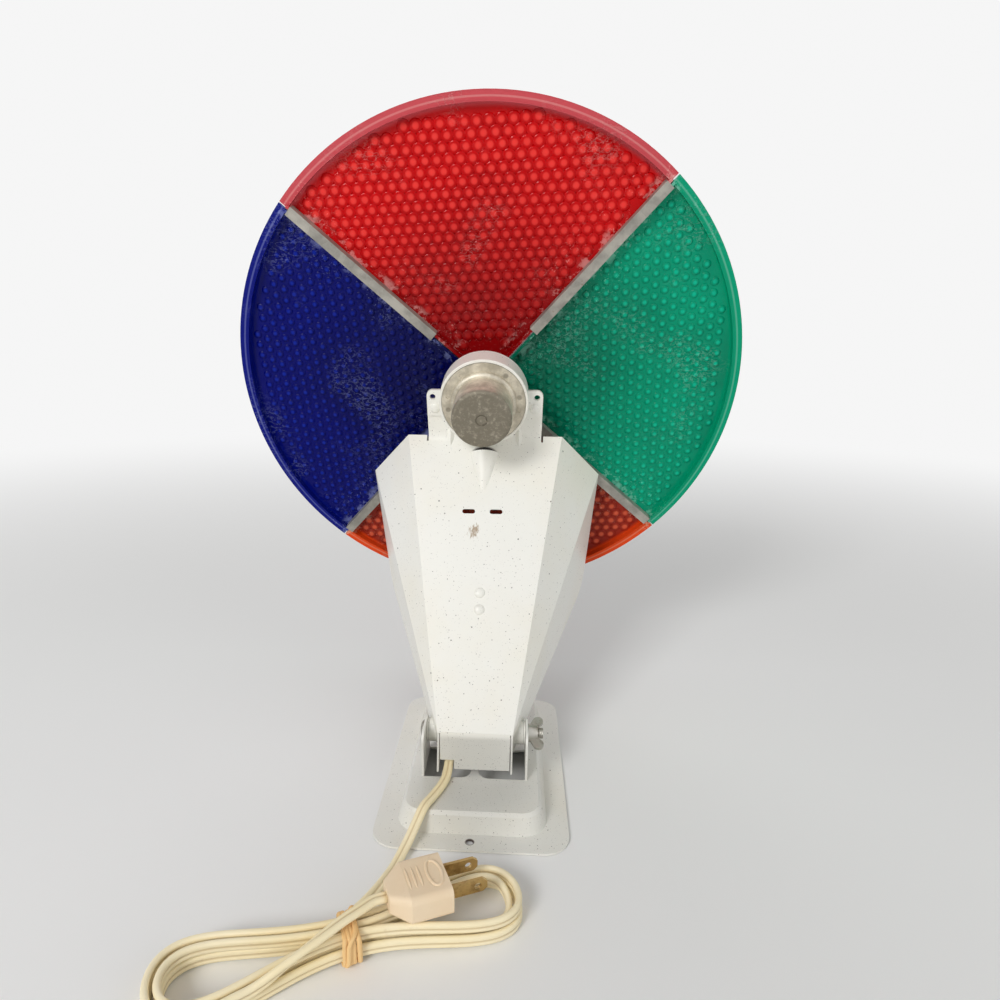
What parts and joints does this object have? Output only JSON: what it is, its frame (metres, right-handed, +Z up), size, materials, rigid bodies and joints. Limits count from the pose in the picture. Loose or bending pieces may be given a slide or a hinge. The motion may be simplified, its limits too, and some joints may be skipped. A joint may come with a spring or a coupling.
{
  "type": "color wheel light",
  "caption": "Rotating color wheel light: a geared motor turns translucent coloured sectors in front of a flood lamp in a tilting sheet-metal housing on a stamped base with a cord.",
  "frame": {"origin": "centre of the base underside, on the floor", "axes": "+Z up, wheel and light towards -Y, pivot bolt along X"},
  "size_m": [0.305, 0.2991, 0.3689],
  "materials": {
    "cream_paint": "gloss enamel",
    "zinc": "aged zinc plate",
    "galvanized": "galvanized sheet",
    "red_lens": "translucent",
    "green_lens": "translucent",
    "amber_lens": "translucent",
    "blue_lens": "translucent",
    "brass": "plain",
    "winding": "enamelled copper winding",
    "magnet": "sintered magnet",
    "phenolic": "moulded phenolic",
    "fibre": "pressed fibre",
    "lamp_glass": "frosted inside",
    "lead_black": "insulation",
    "cord_ivory": "flexible insulation",
    "band_tan": "rubber band"
  },
  "bodies": {
    "base": {"base_plate": "cream_paint", "pivot_bolt": "zinc", "pivot_washers": "fibre", "cord": "cord_ivory", "cord_hank": "cord_ivory", "cord_tail": "cord_ivory", "cord_band": "band_tan", "plug_body": "cord_ivory", "plug_blades": "brass"},
    "wing_nut": {"wing_nut": "zinc"},
    "head": {"lamp_housing": "cream_paint", "motor_cup": "cream_paint", "motor_rivets": "cream_paint", "gear_case": "zinc", "motor_cover": "zinc", "motor_can": "zinc", "stator_coil": "winding", "gear_pin": "zinc", "motor_leads": "lead_black", "lamp_socket": "phenolic", "socket_shell": "brass", "socket_bracket": "galvanized", "bracket_rivets": "cream_paint", "lamp_cap": "brass", "lamp_filament": "zinc", "flood_lamp": "lamp_glass", "supply_lead": "cord_ivory"},
    "wheel": {"output_gear": "brass", "output_shaft": "zinc", "hub_bush": "zinc", "hub_disc": "zinc", "hub_nut": "zinc", "red_sector": "red_lens", "green_sector": "green_lens", "amber_sector": "amber_lens", "blue_sector": "blue_lens", "sector_clips": "galvanized"},
    "third_gear": {"third_gear": "brass"},
    "second_gear": {"second_gear": "brass"},
    "first_gear": {"first_gear": "brass"},
    "rotor": {"rotor": "magnet"}
  },
  "joints": [
    {"name": "head_tilt", "type": "hinge", "parent": "base", "child": "head", "pos_m": [0, 0.013, 0.03], "axis": [1, 0, 0], "range_deg": [-8, 25]},
    {"name": "wing_nut_turn", "type": "hinge", "parent": "base", "child": "wing_nut", "pos_m": [-0.033, 0.013, 0.03], "axis": [-1, 0, 0], "range_deg": [0, 180]},
    {"name": "wheel_spin", "type": "hinge", "parent": "head", "child": "wheel", "pos_m": [0, -0.075, 0.2235], "axis": [0, -0.9593, 0.2823], "continuous": true},
    {"name": "third_gear_spin", "type": "hinge", "parent": "head", "child": "third_gear", "pos_m": [0, -0.07189, 0.23405], "axis": [0, -0.9593, 0.2823], "continuous": true},
    {"name": "second_gear_spin", "type": "hinge", "parent": "head", "child": "second_gear", "pos_m": [0, -0.075, 0.2235], "axis": [0, -0.9593, 0.2823], "continuous": true},
    {"name": "first_gear_spin", "type": "hinge", "parent": "head", "child": "first_gear", "pos_m": [0, -0.07189, 0.23405], "axis": [0, -0.9593, 0.2823], "continuous": true},
    {"name": "rotor_spin", "type": "hinge", "parent": "head", "child": "rotor", "pos_m": [0, -0.075, 0.2235], "axis": [0, -0.9593, 0.2823], "continuous": true}
  ],
  "couplings": [
    {"joint": "third_gear_spin", "follows": "wheel_spin", "ratio": -3.4},
    {"joint": "second_gear_spin", "follows": "wheel_spin", "ratio": 11.56},
    {"joint": "first_gear_spin", "follows": "wheel_spin", "ratio": -39.304},
    {"joint": "rotor_spin", "follows": "wheel_spin", "ratio": 133.63}
  ]
}
